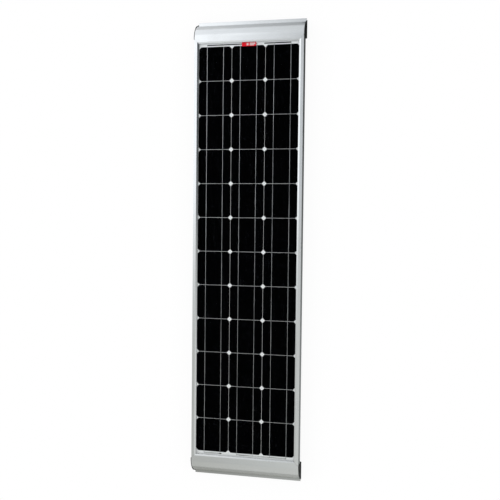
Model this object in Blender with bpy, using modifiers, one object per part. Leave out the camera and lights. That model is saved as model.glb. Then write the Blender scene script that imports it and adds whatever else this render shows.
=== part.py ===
"""Slim solar panel with aerodynamic end profiles, for bonding to a vehicle roof.

Metres. The panel lies flat: +Z is its normal, Y its long axis, X across it, and z = 0 is the roof under it.
Each named object is one solid piece. A piece keeps a small clearance to every piece that it touches.
"""

import math

import bmesh
import bpy
from mathutils import Matrix

# Cells: three columns of pseudo-square wafers.
ROWS = 12
CELL = 0.125
CELL_PITCH = 0.127
CELL_CORNER = 0.0087
TAB_OFFSET = 0.0312
TAB_WIDTH = 0.0018

# Frame: the side rails, and the end profiles that meet them in mitres.
HALF_WIDTH = 0.2065
HALF_FRAME = 0.791
TOP = 0.060
RAIL_BOTTOM = 0.020
WALL = 0.0016
LIP = 0.017
LIP_BEVEL = 0.0060
LIP_DROP = 0.0022
SHELF = 0.019
LEG = 0.030
CHAMBER = 0.0135
EDGE_RADIUS = 0.0006
DRAIN_RADIUS = 0.0025
DRAIN_INSET = 0.007
DRAINS_Y = (-0.60, 0.0, 0.60)
KEY_LEG = 0.055
KEY_TAPER = 0.002

# End profiles: a quarter-round chamber on a flat base that runs on into the bonding flange.
ROUND = 0.060
SKIN = 0.0018
FLANGE_END = 0.8645
FLANGE_THICKNESS = 0.0024
ROUND_STEPS = 24

# End caps: a plate over the open end of the chamber, with a plug rib inside it.
CAP_THICKNESS = 0.002
CAP_PLUG = 0.008
CAP_PLUG_WALL = 0.0016
CAP_OVERLAP = 0.001
CAP_BACK = 0.0006
CAP_REACH = 0.063
CAP_TOE = 0.0675
CAP_TOE_TIP = (0.0004, 0.0015)
CAP_TOE_ANGLE = 8
CAP_POCKET_DEPTH = 0.0008
CAP_POCKET_RADII = (0.0152, 0.0553)
CAP_POCKETS = ((8, 33), (36, 58), (61, 84))

# Laminate: heights of each layer's underside and its thickness, from the roof up.
GAP = 0.0003
GLASS_EDGE = 0.0075
BACKSHEET = (0.04960, 0.00035)
LEADS = (0.05025, 0.00020)
REAR_FILM = (0.05075, 0.00040)
CELLS = (0.05145, 0.00020)
TABS = (0.05155, 0.00020)
BUSES = (0.05145, 0.00030)
FRONT_FILM = (0.05205, 0.00040)
BADGE = (0.05275, 0.00010)
GLASS = (0.05315, 0.00320)
SLOT_LOW = 0.0493
SLOT_HIGH = 0.05665
BUS_LOW = 0.7655
BUS_HIGH = 0.7695
BUS_PAST_TAB = 0.0021
BADGE_SIZE = (0.054, 0.0145)
BADGE_X = 0.0015
BADGE_GAP = 0.0002
STICKER_SIZE = (0.090, 0.060)
STICKER_Y = 0.530
STICKER_THICKNESS = 0.00015

# Lead ribbons behind the cells, and the slot where they pass through the backsheet into the box.
LEAD_WIDTH = 0.005
LEAD_TURN_Y = 0.7425
LEAD_SLOT_Y = 0.7185
LEAD_X = (-0.022, 0.0, 0.022)
NEGATIVE_LENGTH = 0.0214
RETURN_X = -0.100
POSITIVE_X = 0.0615
TAIL_WIDTH = 0.0046
TAIL_LOW = 0.0402
BACKSHEET_SLOT = (0.056, 0.006)
BOX_SLOT = (0.060, 0.008)

# Junction box under the label end: it hangs from the backsheet, and its lid faces the roof.
BOX_Y = 0.690
BOX_SIZE = (0.112, 0.096)
BOX_CORNER = 0.006
BOX_HIGH = 0.0484
BOX_LOW = 0.0280
BOX_WALL = 0.0024
BEAD = (0.0487, 0.0006)
BEAD_INSET = 0.002
BEAD_WIDTH = 0.010
LID = (0.0254, 0.0023)
LID_OVERLAP = 0.0008
LID_GROOVES = 7
LID_GROOVE = (0.076, 0.0022, 0.0007)
LID_GROOVE_PITCH = 0.008
THUMB_TAB = (0.024, 0.003, 0.0016)
TONGUE = (0.0019, 0.0014, 0.0024)
SEAL = (0.0003, 0.0013, 0.0012)
HINGE_OUT = 0.0032
HINGE_ARM = (0.0012, 0.0018)
HINGE_ARM_LIFT = 0.0002
HINGE_Z = 0.0275
BARREL_RADIUS = 0.0028
PIN_RADIUS = 0.0010
PIN_LENGTH = 0.092
KNUCKLE = 0.012
BASE_KNUCKLE_X = 0.038
LID_KNUCKLE_X = 0.0255

# Inside the box: screw terminals in a row, and the bypass diodes between them.
TERMINAL_SIZE = (0.007, 0.012)
TERMINAL_LOW = 0.0372
TERMINAL_Y = 0.706
WIRE_WAY_RADIUS = 0.0016
WIRE_WAY_DEPTH = 0.004
SCREW_RADIUS = 0.0015
SCREW_DEPTH = 0.0055
SCREW_HEAD = (0.0027, 0.0022)
SCREW_SLOT = (0.0008, 0.0009)
DIODE_Y = 0.702
DIODE_Z = 0.0410
DIODE_LENGTH = 0.0084
DIODE_RADIUS = 0.0026
DIODE_WIRE_RADIUS = 0.0006

# Cable glands in the box wall that faces the middle of the panel.
GLAND_X = 0.024
GLAND_Z = 0.0382
GLAND_HEX = 0.015
THREAD_RADIUS = 0.0062
CABLE_RADIUS = 0.0034
BORE_RADIUS = 0.0040
SEAL_RADIUS = 0.0054
SEAL_LENGTH = 0.0040
GLAND_FLANGE = 0.0045
GLAND_NOSE = 0.0085
THREAD_INSIDE = 0.007
LOCK_NUT = 0.0042
NUT_HEX_LENGTH = 0.0085
NUT_TIP = 0.0030

MATERIALS = {
    "anodised_aluminium": ((0.72, 0.73, 0.74), 0.32, 1.0),
    "cast_aluminium": ((0.55, 0.56, 0.57), 0.55, 1.0),
    "black_plastic": ((0.02, 0.02, 0.02), 0.45, 0.0),
    "solar_glass": ((0.80, 0.88, 0.86), 0.05, 0.0),
    "clear_film": ((0.90, 0.92, 0.92), 0.20, 0.0),
    "silicon_cell": ((0.010, 0.011, 0.016), 0.25, 0.0),
    "tinned_copper": ((0.70, 0.70, 0.70), 0.30, 1.0),
    "white_backsheet": ((0.85, 0.86, 0.86), 0.50, 0.0),
    "red_badge": ((0.70, 0.03, 0.04), 0.40, 0.0),
    "silver_sticker": ((0.75, 0.75, 0.75), 0.45, 0.0),
    "silicone_sealant": ((0.78, 0.78, 0.77), 0.60, 0.0),
    "black_rubber": ((0.03, 0.03, 0.03), 0.80, 0.0),
    "brass": ((0.75, 0.58, 0.28), 0.35, 1.0),
    "steel": ((0.60, 0.60, 0.62), 0.35, 1.0),
    "diode_epoxy": ((0.04, 0.04, 0.045), 0.50, 0.0),
}

# Local axes of an outline's plane: x and y of the outline, then the way it is extruded.
ALONG_X = Matrix(((0, 0, 1), (1, 0, 0), (0, 1, 0))).to_4x4()
ALONG_Y = Matrix(((1, 0, 0), (0, 0, -1), (0, 1, 0))).to_4x4()
HALF_TURN = Matrix.Rotation(math.pi, 4, "Z")


def clear_scene():
    for obj in list(bpy.data.objects):
        bpy.data.objects.remove(obj, do_unlink=True)


def new_collection(name):
    collection = bpy.data.collections.new(name)
    bpy.context.scene.collection.children.link(collection)
    return collection


def make_materials():
    made = {}
    for name, (colour, roughness, metallic) in MATERIALS.items():
        material = bpy.data.materials.new(name)
        material.use_nodes = True
        shader = material.node_tree.nodes["Principled BSDF"]
        shader.inputs["Base Color"].default_value = (*colour, 1.0)
        shader.inputs["Roughness"].default_value = roughness
        shader.inputs["Metallic"].default_value = metallic
        made[name] = material
    return made


clear_scene()
PARTS = new_collection("solar_panel")
CUTTERS = new_collection("cutters")
LOOKS = make_materials()


def part(name, mesh, look, place=None):
    """A named piece of the panel, with its own copy of the material."""
    obj = bpy.data.objects.new(name, mesh)
    PARTS.objects.link(obj)
    if place is not None:
        obj.matrix_world = place
    own = LOOKS[look].copy()
    own.name = f"{name}_{look}"
    mesh.materials.clear()
    mesh.materials.append(own)
    return obj


def helper(name, mesh, place=None):
    """A shape that cuts or joins a piece, and isn't a piece itself."""
    obj = bpy.data.objects.new(name, mesh)
    CUTTERS.objects.link(obj)
    if place is not None:
        obj.matrix_world = place
    obj.hide_render = True
    obj.display_type = "WIRE"
    return obj


def combine(obj, operation, *others):
    for other in others:
        modifier = obj.modifiers.new(f"{operation.lower()}_{other.name}", "BOOLEAN")
        modifier.operation = operation
        modifier.solver = "EXACT"
        modifier.object = other


def slab(low, high):
    """A box between two corners."""
    shape = bmesh.new()
    bmesh.ops.create_cube(shape, size=1.0)
    for vertex in shape.verts:
        for axis in range(3):
            middle = (low[axis] + high[axis]) / 2
            vertex.co[axis] = middle + vertex.co[axis] * (high[axis] - low[axis])
    mesh = bpy.data.meshes.new("slab")
    shape.to_mesh(mesh)
    shape.free()
    return mesh


def layer(half_x, low_y, high_y, heights, low_x=None):
    """A thin box lying flat at the heights (underside, thickness)."""
    left = -half_x if low_x is None else low_x
    return slab((left, low_y, heights[0]), (half_x, high_y, heights[0] + heights[1]))


def rod(start, end, radius, sides=24, smooth=True):
    """A cylinder, or a prism with few sides, between two points on one axis line."""
    shape = bmesh.new()
    along = [b - a for a, b in zip(start, end)]
    length = math.sqrt(sum(step * step for step in along))
    bmesh.ops.create_cone(
        shape, cap_ends=True, segments=sides, radius1=radius, radius2=radius, depth=length
    )
    axis = max(range(3), key=lambda i: abs(along[i]))
    turn = (Matrix.Rotation(math.pi / 2, 4, "Y"), Matrix.Rotation(-math.pi / 2, 4, "X"), Matrix())[axis]
    middle = Matrix.Translation([(a + b) / 2 for a, b in zip(start, end)])
    flat_up = Matrix.Rotation(math.pi / sides, 4, "Z")
    shape.transform(middle @ turn @ flat_up)
    mesh = bpy.data.meshes.new("rod")
    shape.to_mesh(mesh)
    shape.free()
    if smooth:
        mesh.shade_smooth()
        mesh.set_sharp_from_angle(angle=math.radians(40))
    return mesh


def outline(loops, length, frame, smooth=False):
    """The mesh of a flat outline, extruded by length about its own plane. Inner loops are holes."""
    curve = bpy.data.curves.new("outline", "CURVE")
    curve.dimensions = "2D"
    curve.fill_mode = "BOTH"
    curve.extrude = length / 2
    for points in loops:
        spline = curve.splines.new("POLY")
        spline.points.add(len(points) - 1)
        for point, (x, y) in zip(spline.points, points):
            point.co = (x, y, 0.0, 1.0)
        spline.use_cyclic_u = True
    drawn = bpy.data.objects.new("outline", curve)
    CUTTERS.objects.link(drawn)
    bpy.context.view_layer.update()
    mesh = bpy.data.meshes.new_from_object(drawn.evaluated_get(bpy.context.evaluated_depsgraph_get()))
    bpy.data.objects.remove(drawn, do_unlink=True)
    bpy.data.curves.remove(curve)
    shape = bmesh.new()
    shape.from_mesh(mesh)
    bmesh.ops.remove_doubles(shape, verts=shape.verts, dist=1e-6)
    bmesh.ops.recalc_face_normals(shape, faces=shape.faces)
    shape.transform(frame)
    shape.to_mesh(mesh)
    shape.free()
    if smooth:
        mesh.shade_smooth()
        mesh.set_sharp_from_angle(angle=math.radians(30))
    return mesh


def arc(centre, radii, start, end, steps):
    """Points along an ellipse's arc, with the angles in degrees."""
    points = []
    for step in range(steps + 1):
        angle = math.radians(start + (end - start) * step / steps)
        points.append((centre[0] + radii[0] * math.cos(angle), centre[1] + radii[1] * math.sin(angle)))
    return points


def rectangle(half_x, half_y, y=0.0):
    return [(-half_x, y - half_y), (half_x, y - half_y), (half_x, y + half_y), (-half_x, y + half_y)]


def rounded(half_x, half_y, radius, y=0.0, steps=4):
    """A rectangle with round corners."""
    points = []
    for quarter, (side_x, side_y) in enumerate(((1, 1), (-1, 1), (-1, -1), (1, -1))):
        centre = (side_x * (half_x - radius), y + side_y * (half_y - radius))
        points += arc(centre, (radius, radius), 90 * quarter, 90 * quarter + 90, steps)
    return points


def at_height(low, thickness):
    """Places an outline in the XY plane so that it is extruded from low up to low + thickness."""
    return Matrix.Translation((0, 0, low + thickness / 2))


# ---- frame ----


def frame_inner(outside):
    """The section shared by every side of the frame, from the lip's crest to the foot of the leg."""
    lip = outside - LIP
    inner_wall = outside - CHAMBER - WALL
    return [
        (lip + LIP_BEVEL, TOP),
        (lip, TOP - LIP_DROP),
        (lip, SLOT_HIGH),
        (outside - WALL, SLOT_HIGH),
        (outside - WALL, SLOT_LOW),
        (outside - SHELF, SLOT_LOW),
        (outside - SHELF, SLOT_LOW - WALL),
        (inner_wall, SLOT_LOW - WALL),
        (inner_wall, RAIL_BOTTOM + WALL),
        (outside - LEG, RAIL_BOTTOM + WALL),
        (outside - LEG, RAIL_BOTTOM),
    ]


def chamber(outside):
    low = RAIL_BOTTOM + WALL
    high = SLOT_LOW - WALL
    return [
        (outside - CHAMBER, low),
        (outside - WALL, low),
        (outside - WALL, high),
        (outside - CHAMBER, high),
    ]


def rail_section():
    corner = arc(
        (HALF_WIDTH - EDGE_RADIUS, TOP - EDGE_RADIUS), (EDGE_RADIUS, EDGE_RADIUS), 0, 90, 2
    )
    return [[(HALF_WIDTH, RAIL_BOTTOM), *corner, *frame_inner(HALF_WIDTH)], chamber(HALF_WIDTH)]


def spoiler_section():
    """The end profile: the frame's section, a quarter-round chamber outside it, and the flange."""
    toe = math.degrees(math.asin(FLANGE_THICKNESS / TOP))
    tip = arc(
        (FLANGE_END - FLANGE_THICKNESS / 2, FLANGE_THICKNESS / 2),
        (FLANGE_THICKNESS / 2, FLANGE_THICKNESS / 2),
        -90,
        90,
        4,
    )
    skin = arc((HALF_FRAME, 0), (ROUND, TOP), toe, 90, ROUND_STEPS)
    foot = [(HALF_FRAME - WALL, RAIL_BOTTOM), (HALF_FRAME - WALL, 0)]
    floor = FLANGE_THICKNESS
    inner_radii = (ROUND - SKIN, TOP - SKIN)
    inner_toe = math.degrees(math.asin(floor / inner_radii[1]))
    hollow = [(HALF_FRAME, floor), *arc((HALF_FRAME, 0), inner_radii, inner_toe, 90, ROUND_STEPS)]
    return [[*tip, *skin, *frame_inner(HALF_FRAME), *foot], chamber(HALF_FRAME), hollow]


def frame_plan(name, side_y, outer):
    """What an end profile keeps, seen from above: 45 degree mitres, then square ends outside the frame."""
    corner = (HALF_WIDTH - GAP / 2, HALF_FRAME)
    inner = (corner[0] - 0.06, corner[1] - 0.06)
    right = [inner, corner, (HALF_WIDTH, HALF_FRAME + GAP / 2), (HALF_WIDTH, outer)]
    points = right + [(-x, y) for x, y in reversed(right)]
    mesh = outline([[(x, side_y * y) for x, y in points]], 0.2, at_height(-0.05, 0.2))
    return helper(name, mesh)


def rail_plan(name, side_x):
    """What a side rail keeps, seen from above: a long strip with mitred ends."""
    slope = HALF_FRAME - HALF_WIDTH - GAP / 2
    inner = HALF_WIDTH - 0.05
    outer = HALF_WIDTH + 0.02
    half = [(inner, inner + slope), (outer, outer + slope)]
    points = half + [(x, -y) for x, y in reversed(half)]
    mesh = outline([[(side_x * x, y) for x, y in points]], 0.2, at_height(-0.05, 0.2))
    return helper(name, mesh)


def make_frame():
    for side, side_x in (("left", -1), ("right", 1)):
        rail_mesh = outline(rail_section(), 2 * HALF_FRAME + 0.02, ALONG_Y)
        if side_x < 0:
            rail_mesh.transform(HALF_TURN)
        rail = part(f"side_rail_{side}", rail_mesh, "anodised_aluminium")
        combine(rail, "INTERSECT", rail_plan(f"plan_rail_{side}", side_x))
        for index, y in enumerate(DRAINS_Y):
            x = side_x * (HALF_WIDTH - LEG + DRAIN_INSET)
            drill = rod((x, y, RAIL_BOTTOM - 0.005), (x, y, RAIL_BOTTOM + 0.006), DRAIN_RADIUS, 12)
            combine(rail, "DIFFERENCE", helper(f"drain_{side}_{index}", drill))
    for end, side_y in (("top", 1), ("bottom", -1)):
        spoiler_mesh = outline(spoiler_section(), 2 * HALF_WIDTH + 0.02, ALONG_X, smooth=True)
        if side_y < 0:
            spoiler_mesh.transform(HALF_TURN)
        spoiler = part(f"end_spoiler_{end}", spoiler_mesh, "anodised_aluminium")
        combine(spoiler, "INTERSECT", frame_plan(f"plan_spoiler_{end}", side_y, FLANGE_END + 0.02))


def make_corner_keys():
    """An angle bracket inside each corner's two chambers."""
    far_x = HALF_WIDTH - WALL - GAP
    far_y = HALF_FRAME - WALL - GAP
    thick = CHAMBER - WALL - 2 * GAP
    leg = KEY_LEG
    low = RAIL_BOTTOM + WALL + GAP
    height = SLOT_LOW - 2 * WALL - RAIL_BOTTOM - 2 * GAP
    taper = KEY_TAPER
    plan = [
        (far_x, far_y),
        (far_x - leg, far_y),
        (far_x - leg, far_y - thick + taper),
        (far_x - leg + taper, far_y - thick),
        (far_x - thick, far_y - thick),
        (far_x - thick, far_y - leg + taper),
        (far_x - thick + taper, far_y - leg),
        (far_x, far_y - leg),
    ]
    for end, side_y in (("top", 1), ("bottom", -1)):
        for side, side_x in (("left", -1), ("right", 1)):
            points = [(side_x * x, side_y * y) for x, y in plan]
            mesh = outline([points], height, at_height(low, height))
            part(f"corner_key_{end}_{side}", mesh, "cast_aluminium")


def cap_plate():
    """The end cap's outline: a quarter disc with a pointed toe over the flange."""
    inner = HALF_FRAME - CAP_BACK
    rim = arc((inner, 0), (CAP_REACH, TOP), CAP_TOE_ANGLE, 90, ROUND_STEPS // 2)
    tip = (inner + CAP_TOE - CAP_TOE_TIP[0], CAP_TOE_TIP[1])
    return [(inner, 0), (inner + CAP_TOE, 0), tip, *rim]


def cap_plug(grow):
    """The rib that sits inside the chamber, as a quarter disc that is grow smaller all round."""
    corner = (HALF_FRAME + grow, FLANGE_THICKNESS + grow)
    reach = ROUND - SKIN - grow
    rise = TOP - SKIN - grow
    toe = math.degrees(math.asin(corner[1] / rise))
    crown = 90 - math.degrees(math.asin(grow / reach))
    return [corner, *arc((HALF_FRAME, 0), (reach, rise), toe, crown, ROUND_STEPS // 2)]


def cap_pocket(start, end):
    """A shallow pocket in the cap's face, between two moulded ribs that fan out from its corner."""
    near, far = CAP_POCKET_RADII
    steps = ROUND_STEPS // 3
    outer = arc((HALF_FRAME, 0), (far, far), start, end, steps)
    inner = arc((HALF_FRAME, 0), (near, near), start, end, steps)
    return [*outer, *reversed(inner)]


def make_end_caps():
    plate_low = HALF_WIDTH + GAP
    for end, side_y in (("top", 1), ("bottom", -1)):
        for side, side_x in (("left", -1), ("right", 1)):
            plate = outline([cap_plate()], CAP_THICKNESS, ALONG_X)
            plate.transform(Matrix.Translation((plate_low + CAP_THICKNESS / 2, 0, 0)))
            depth = CAP_PLUG + CAP_OVERLAP
            rib = outline([cap_plug(2 * GAP), cap_plug(2 * GAP + CAP_PLUG_WALL)], depth, ALONG_X)
            rib.transform(Matrix.Translation((plate_low + CAP_OVERLAP - depth / 2, 0, 0)))
            pockets = outline([cap_pocket(*sector) for sector in CAP_POCKETS], 2 * CAP_POCKET_DEPTH, ALONG_X)
            pockets.transform(Matrix.Translation((plate_low + CAP_THICKNESS, 0, 0)))
            turn = Matrix.Diagonal((side_x, side_y, 1, 1))
            for mesh in (plate, rib, pockets):
                mesh.transform(turn)
                if side_x * side_y < 0:
                    mesh.flip_normals()
            cap = part(f"end_cap_{end}_{side}", plate, "black_plastic")
            combine(cap, "DIFFERENCE", helper(f"cap_pockets_{end}_{side}", pockets))
            combine(cap, "UNION", helper(f"cap_rib_{end}_{side}", rib))


# ---- laminate ----


def cell_plan(x, y):
    half = CELL / 2
    cut = half - CELL_CORNER
    corners = (
        (half, cut), (cut, half), (-cut, half), (-half, cut),
        (-half, -cut), (-cut, -half), (cut, -half), (half, -cut),
    )
    return [(x + dx, y + dy) for dx, dy in corners]


def make_strings():
    """Three series strings. A string is its twelve cells, soldered together by two tab ribbons."""
    for name, column in (("left", -1), ("middle", 0), ("right", 1)):
        x = column * CELL_PITCH
        rows = [(row - (ROWS - 1) / 2) * CELL_PITCH for row in range(ROWS)]
        mesh = outline([cell_plan(x, y) for y in rows], CELLS[1], at_height(*CELLS))
        string = part(f"cell_string_{name}", mesh, "silicon_cell")
        for index, offset in enumerate((-TAB_OFFSET, TAB_OFFSET)):
            left = x + offset - TAB_WIDTH / 2
            reach = BUS_LOW - GAP
            tab = layer(left + TAB_WIDTH, -reach, reach, TABS, low_x=left)
            combine(string, "UNION", helper(f"tab_{name}_{index}", tab))


def make_buses():
    outer_tab = CELL_PITCH + TAB_OFFSET + TAB_WIDTH / 2
    inner_tab = TAB_OFFSET + TAB_WIDTH / 2
    lead_start = POSITIVE_X - LEAD_WIDTH / 2
    first_end = -CELL_PITCH + inner_tab + BUS_PAST_TAB
    spans = {
        "bus_ribbon_top_left": (1, -outer_tab, inner_tab),
        "bus_ribbon_top_right": (1, lead_start, outer_tab),
        "bus_ribbon_bottom_left": (-1, -outer_tab, first_end),
        "bus_ribbon_bottom_right": (-1, -inner_tab, outer_tab),
    }
    for name, (end, low_x, high_x) in spans.items():
        low_y, high_y = sorted((end * BUS_LOW, end * BUS_HIGH))
        part(name, layer(high_x, low_y, high_y, BUSES, low_x=low_x), "tinned_copper")


def make_leads():
    """Ribbons behind the cells that bring the strings' ends to the junction box."""
    half = LEAD_WIDTH / 2
    turn_y = LEAD_TURN_Y
    slot = LEAD_SLOT_Y
    negative, tap, positive = LEAD_X
    back = [
        (RETURN_X - half, -BUS_HIGH),
        (RETURN_X + half, -BUS_HIGH),
        (RETURN_X + half, turn_y - half),
        (negative + half, turn_y - half),
        (negative + half, turn_y + half),
        (RETURN_X - half, turn_y + half),
    ]
    part("return_ribbon", outline([back], LEADS[1], at_height(*LEADS)), "tinned_copper")
    across = POSITIVE_X - positive
    plans = {
        "lead_ribbon_negative": (
            negative,
            rectangle(half, NEGATIVE_LENGTH / 2, slot + NEGATIVE_LENGTH / 2),
        ),
        "lead_ribbon_tap": (tap, rectangle(half, (BUS_HIGH - slot) / 2, (BUS_HIGH + slot) / 2)),
        "lead_ribbon_positive": (
            positive,
            [
                (-half, slot),
                (half, slot),
                (half, turn_y - half),
                (across + half, turn_y - half),
                (across + half, BUS_HIGH),
                (across - half, BUS_HIGH),
                (across - half, turn_y + half),
                (-half, turn_y + half),
            ],
        ),
    }
    for name, (x, plan) in plans.items():
        points = [(x + dx, y) for dx, y in plan]
        lead = part(name, outline([points], LEADS[1], at_height(*LEADS)), "tinned_copper")
        tail = slab(
            (x - TAIL_WIDTH / 2, slot - LEADS[1] / 2, TAIL_LOW),
            (x + TAIL_WIDTH / 2, slot + LEADS[1] / 2, LEADS[0] + LEADS[1] / 2),
        )
        combine(lead, "UNION", helper(f"{name}_tail", tail))


def slot_cutter(size):
    """A block through the box's top and the backsheet, over the leads' slot."""
    half_x, half_y = size[0] / 2, size[1] / 2
    low, high = BOX_HIGH - 2 * BOX_WALL, BACKSHEET[0] + BACKSHEET[1] + GAP / 2
    return slab((-half_x, LEAD_SLOT_Y - half_y, low), (half_x, LEAD_SLOT_Y + half_y, high))


def make_laminate():
    half_x = HALF_WIDTH - GLASS_EDGE
    half_y = HALF_FRAME - GLASS_EDGE
    part("front_glass", layer(half_x, -half_y, half_y, GLASS), "solar_glass")
    part("front_encapsulant", layer(half_x, -half_y, half_y, FRONT_FILM), "clear_film")
    part("rear_encapsulant", layer(half_x, -half_y, half_y, REAR_FILM), "clear_film")
    sheet = part("backsheet", layer(half_x, -half_y, half_y, BACKSHEET), "white_backsheet")
    combine(sheet, "DIFFERENCE", helper("backsheet_slot", slot_cutter(BACKSHEET_SLOT)))
    seal = [
        rectangle(HALF_WIDTH - WALL - GAP, HALF_FRAME - WALL - GAP),
        rectangle(half_x + GAP, half_y + GAP),
    ]
    low = SLOT_LOW + GAP
    height = SLOT_HIGH - SLOT_LOW - 2 * GAP
    part("edge_sealant", outline(seal, height, at_height(low, height)), "silicone_sealant")
    half, high = BADGE_SIZE[0] / 2, HALF_FRAME - LIP - BADGE_GAP
    badge = layer(BADGE_X + half, high - BADGE_SIZE[1], high, BADGE, low_x=BADGE_X - half)
    part("front_badge", badge, "red_badge")
    half_x, half_y = STICKER_SIZE[0] / 2, STICKER_SIZE[1] / 2
    heights = (BACKSHEET[0] - GAP - STICKER_THICKNESS, STICKER_THICKNESS)
    sticker = layer(half_x, STICKER_Y - half_y, STICKER_Y + half_y, heights)
    part("rear_sticker", sticker, "silver_sticker")


# ---- junction box ----


def make_box_base():
    half_x, half_y = BOX_SIZE[0] / 2, BOX_SIZE[1] / 2
    height = BOX_HIGH - BOX_LOW
    shell = outline(
        [rounded(half_x, half_y, BOX_CORNER, BOX_Y)], height, at_height(BOX_LOW, height), smooth=True
    )
    base = part("junction_box_base", shell, "black_plastic")
    inside = outline(
        [rounded(half_x - BOX_WALL, half_y - BOX_WALL, BOX_CORNER - BOX_WALL, BOX_Y)],
        height + 0.01,
        at_height(BOX_LOW - 0.01 - BOX_WALL, height + 0.01),
    )
    combine(base, "DIFFERENCE", helper("box_inside", inside))
    combine(base, "DIFFERENCE", helper("box_lead_slot", slot_cutter(BOX_SLOT)))
    wall_y = BOX_Y - half_y
    for side, side_x in (("left", -1), ("right", 1)):
        x = side_x * GLAND_X
        ends = (wall_y - BOX_WALL, wall_y + 2 * BOX_WALL)
        hole = rod((x, ends[0], GLAND_Z), (x, ends[1], GLAND_Z), THREAD_RADIUS + GAP, 32)
        combine(base, "DIFFERENCE", helper(f"gland_hole_{side}", hole))
        make_knuckle(base, side_x * BASE_KNUCKLE_X, f"base_{side}", BOX_LOW)
    inset = BEAD_INSET + BEAD_WIDTH
    bead = [
        rounded(half_x - BEAD_INSET, half_y - BEAD_INSET, BOX_CORNER - BEAD_INSET, BOX_Y),
        rounded(half_x - inset, half_y - inset, BOX_CORNER / 2, BOX_Y),
    ]
    part("box_adhesive_bead", outline(bead, BEAD[1], at_height(*BEAD)), "silicone_sealant")


def make_knuckle(obj, x, name, low):
    """Joins a hinge barrel to the box or to its lid, and bores it for the pin."""
    edge = BOX_Y + BOX_SIZE[1] / 2
    axis_y = edge + HINGE_OUT
    left, right = x - KNUCKLE / 2, x + KNUCKLE / 2
    barrel = rod((left, axis_y, HINGE_Z), (right, axis_y, HINGE_Z), BARREL_RADIUS, 16)
    arm_low = low + HINGE_ARM_LIFT
    arm = slab((left, edge - HINGE_ARM[0], arm_low), (right, axis_y, arm_low + HINGE_ARM[1]))
    start, end = left - PIN_RADIUS, right + PIN_RADIUS
    bore = rod((start, axis_y, HINGE_Z), (end, axis_y, HINGE_Z), PIN_RADIUS + GAP, 16)
    combine(
        obj, "UNION", helper(f"knuckle_{name}_barrel", barrel), helper(f"knuckle_{name}_arm", arm)
    )
    combine(obj, "DIFFERENCE", helper(f"knuckle_{name}_bore", bore))


def make_lid():
    half_x, half_y = BOX_SIZE[0] / 2, BOX_SIZE[1] / 2
    axis_y = BOX_Y + half_y + HINGE_OUT
    hinge = Matrix.Translation((0, axis_y, HINGE_Z))
    plate = outline([rounded(half_x, half_y, BOX_CORNER, BOX_Y)], LID[1], at_height(*LID), smooth=True)
    plate.transform(hinge.inverted())
    lid = part("junction_box_lid", plate, "black_plastic", hinge)

    def ring(away, width):
        loops = []
        for inset in (BOX_WALL + away, BOX_WALL + away + width):
            corner = max(BOX_CORNER + GAP - inset, GAP)
            loops.append(rounded(half_x - inset, half_y - inset, corner, BOX_Y))
        return loops

    lid_top = LID[0] + LID[1]
    tongue_height = TONGUE[2] + LID_OVERLAP
    tongue = outline(ring(*TONGUE[:2]), tongue_height, at_height(lid_top - LID_OVERLAP, tongue_height))
    combine(lid, "UNION", helper("lid_tongue", tongue))
    for side, side_x in (("left", -1), ("right", 1)):
        make_knuckle(lid, side_x * LID_KNUCKLE_X, f"lid_{side}", LID[0])
    front = BOX_Y - half_y
    width, reach, thick = THUMB_TAB
    low = LID[0] + (LID[1] - thick) / 2
    thumb = slab((-width / 2, front - reach, low), (width / 2, front + reach, low + thick))
    combine(lid, "UNION", helper("lid_thumb_tab", thumb))
    length, groove_width, depth = LID_GROOVE
    for i in range(LID_GROOVES):
        y = BOX_Y + (i - (LID_GROOVES - 1) / 2) * LID_GROOVE_PITCH
        groove = slab(
            (-length / 2, y - groove_width / 2, LID[0] - depth),
            (length / 2, y + groove_width / 2, LID[0] + depth),
        )
        combine(lid, "DIFFERENCE", helper(f"lid_groove_{i}", groove))
    seal_mesh = outline(ring(*SEAL[:2]), SEAL[2], at_height(lid_top + GAP, SEAL[2]))
    seal_mesh.transform(hinge.inverted())
    part("lid_seal", seal_mesh, "black_rubber", hinge)
    pin = rod((-PIN_LENGTH / 2, 0, 0), (PIN_LENGTH / 2, 0, 0), PIN_RADIUS, 16)
    part("lid_hinge_pin", pin, "steel", hinge)


def make_terminals():
    """Brass clamps on the leads, each with a slotted screw that faces the lid."""
    half_x, half_y = TERMINAL_SIZE[0] / 2, TERMINAL_SIZE[1] / 2
    low, high = TERMINAL_LOW, BOX_HIGH - BOX_WALL - GAP
    y = TERMINAL_Y
    head_low = low - SCREW_HEAD[1]
    hole_high = low + SCREW_DEPTH + 2 * GAP
    way_z = high - WIRE_WAY_DEPTH
    for name, x in zip(("negative", "tap", "positive"), LEAD_X):
        block = slab((x - half_x, y - half_y, low), (x + half_x, y + half_y, high))
        clamp = part(f"terminal_{name}", block, "brass")
        drill = rod((x, y, head_low), (x, y, hole_high), SCREW_RADIUS + GAP, 12)
        wire_way = rod((x, y - 2 * half_y, way_z), (x, y + 2 * half_y, way_z), WIRE_WAY_RADIUS, 12)
        combine(clamp, "DIFFERENCE", helper(f"terminal_drill_{name}", drill))
        combine(clamp, "DIFFERENCE", helper(f"terminal_wire_way_{name}", wire_way))
        head = rod((x, y, head_low), (x, y, low - GAP), SCREW_HEAD[0], 16)
        screw = part(f"terminal_screw_{name}", head, "steel")
        shank = rod((x, y, low - 3 * GAP), (x, y, low + SCREW_DEPTH), SCREW_RADIUS, 12)
        combine(screw, "UNION", helper(f"screw_shank_{name}", shank))
        slot = slab(
            (x - half_x, y - SCREW_SLOT[0] / 2, head_low - GAP),
            (x + half_x, y + SCREW_SLOT[0] / 2, head_low + SCREW_SLOT[1]),
        )
        combine(screw, "DIFFERENCE", helper(f"screw_slot_{name}", slot))


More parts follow.
